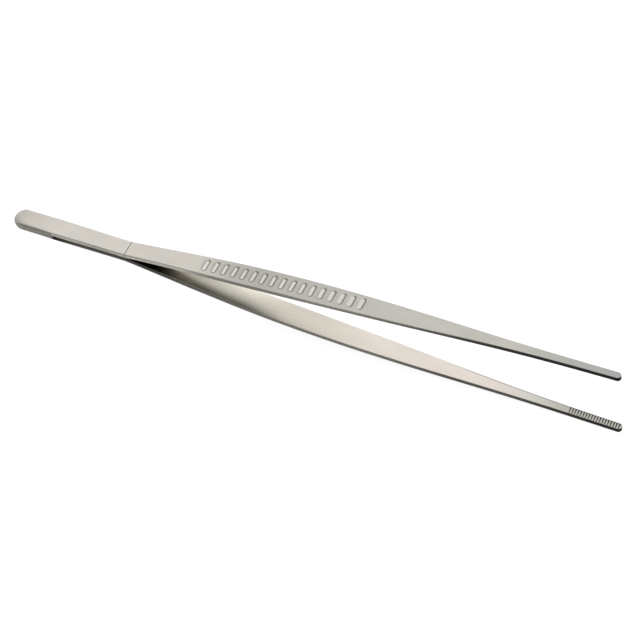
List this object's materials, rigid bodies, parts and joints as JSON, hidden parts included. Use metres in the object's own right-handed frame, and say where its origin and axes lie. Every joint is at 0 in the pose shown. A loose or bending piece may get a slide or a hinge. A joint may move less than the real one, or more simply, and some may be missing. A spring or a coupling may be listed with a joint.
{
  "type": "aquascaping tweezers",
  "caption": "Long straight stainless tweezers for planting aquariums: sprung bowed arms welded at a rounded heel, slotted grip, and narrow rounded tips grooved inside.",
  "frame": {"origin": "centre of the bounding box, on the middle plane between the two arms", "axes": "+X from the heel to the tips, +Y across the width of the strips, +Z the way the upper arm opens"},
  "size_m": [0.3, 0.011, 0.0396],
  "materials": {
    "arm_steel": "satin-polished stainless strip with a fine grain along its length",
    "welded_steel": "welded and ground stainless, duller than the arms"
  },
  "bodies": {
    "heel": {"heel_weld": "welded_steel", "upper_arm_heel": "arm_steel", "lower_arm_heel": "arm_steel"},
    "upper_blade": {"upper_arm_blade": "arm_steel"},
    "lower_blade": {"lower_arm_blade": "arm_steel"}
  },
  "joints": [
    {"name": "squeeze", "type": "hinge", "parent": "heel", "child": "upper_blade", "pos_m": [-0.09, 0, 0.0013], "axis": [0, 1, 0], "range_deg": [0, 4.12], "stiffness_Nm_per_rad": 6},
    {"name": "lower_squeeze", "type": "hinge", "parent": "heel", "child": "lower_blade", "pos_m": [-0.09, 0, -0.0013], "axis": [0, 1, 0], "range_deg": [-4.12, 0], "stiffness_Nm_per_rad": 6}
  ],
  "couplings": [
    {"joint": "lower_squeeze", "follows": "squeeze", "ratio": -1}
  ]
}
